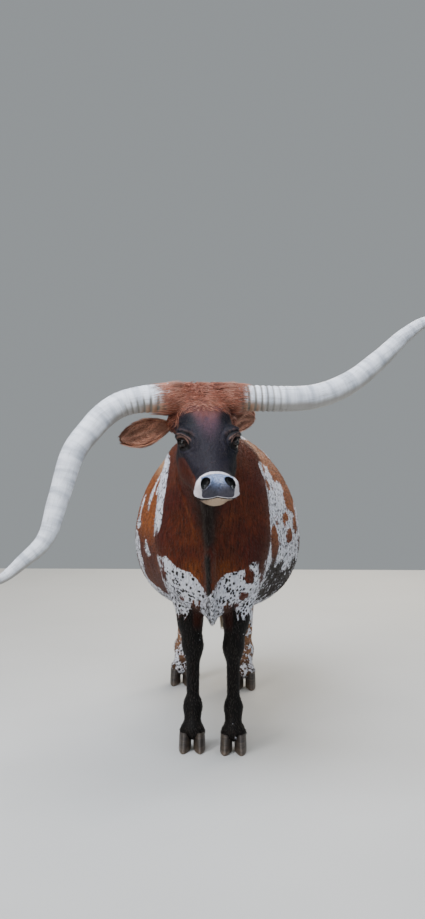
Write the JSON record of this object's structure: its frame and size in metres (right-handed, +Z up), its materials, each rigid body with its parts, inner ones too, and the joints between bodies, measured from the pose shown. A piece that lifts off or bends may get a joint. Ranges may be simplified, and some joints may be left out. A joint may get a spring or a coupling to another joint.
{
  "type": "texas longhorn cow, still life-size figure",
  "caption": "Life-size standing longhorn cow, facing the viewer with level head, long upswept and downswept horns, deep belly, dewlap and cloven hooves.",
  "frame": {"origin": "on the floor, below the middle of the animal's bounding box", "axes": "+Z up from the floor, -Y the way the animal faces, +X to its left side"},
  "size_m": [1.8466, 2.194, 1.7592],
  "materials": {
    "coat": "short flat coat, red-brown with white patches",
    "face_coat": "short glossy black-brown coat",
    "white_coat": "short white coat with dark specks",
    "dark_coat": "short black coat",
    "poll_hair": "long wavy red-brown hair",
    "switch_hair": "long straight pale hair",
    "udder_skin": "matte bare skin",
    "horn": "satin horn keratin",
    "eye": "wet gloss",
    "hoof": "satin hoof horn"
  },
  "bodies": {
    "root": {"torso": "coat", "neck": "coat", "head": "face_coat", "poll": "poll_hair", "dewlap": "coat", "udder": "udder_skin", "tail": "coat", "tail_switch": "switch_hair", "horn_left": "horn", "ear_left": "coat", "eye_left": "eye", "horn_right": "horn", "ear_right": "coat", "eye_right": "eye", "foreleg_left_upper": "white_coat", "foreleg_left_lower": "dark_coat", "foreleg_left_pastern": "dark_coat", "foreleg_left_claw_outer": "hoof", "foreleg_left_dewclaw_outer": "hoof", "foreleg_left_claw_inner": "hoof", "foreleg_left_dewclaw_inner": "hoof", "foreleg_right_upper": "white_coat", "foreleg_right_lower": "dark_coat", "foreleg_right_pastern": "dark_coat", "foreleg_right_claw_outer": "hoof", "foreleg_right_dewclaw_outer": "hoof", "foreleg_right_claw_inner": "hoof", "foreleg_right_dewclaw_inner": "hoof", "hindleg_left_upper": "coat", "hindleg_left_lower": "dark_coat", "hindleg_left_pastern": "dark_coat", "hindleg_left_claw_outer": "hoof", "hindleg_left_dewclaw_outer": "hoof", "hindleg_left_claw_inner": "hoof", "hindleg_left_dewclaw_inner": "hoof", "hindleg_right_upper": "coat", "hindleg_right_lower": "dark_coat", "hindleg_right_pastern": "dark_coat", "hindleg_right_claw_outer": "hoof", "hindleg_right_dewclaw_outer": "hoof", "hindleg_right_claw_inner": "hoof", "hindleg_right_dewclaw_inner": "hoof"}
  },
  "joints": []
}
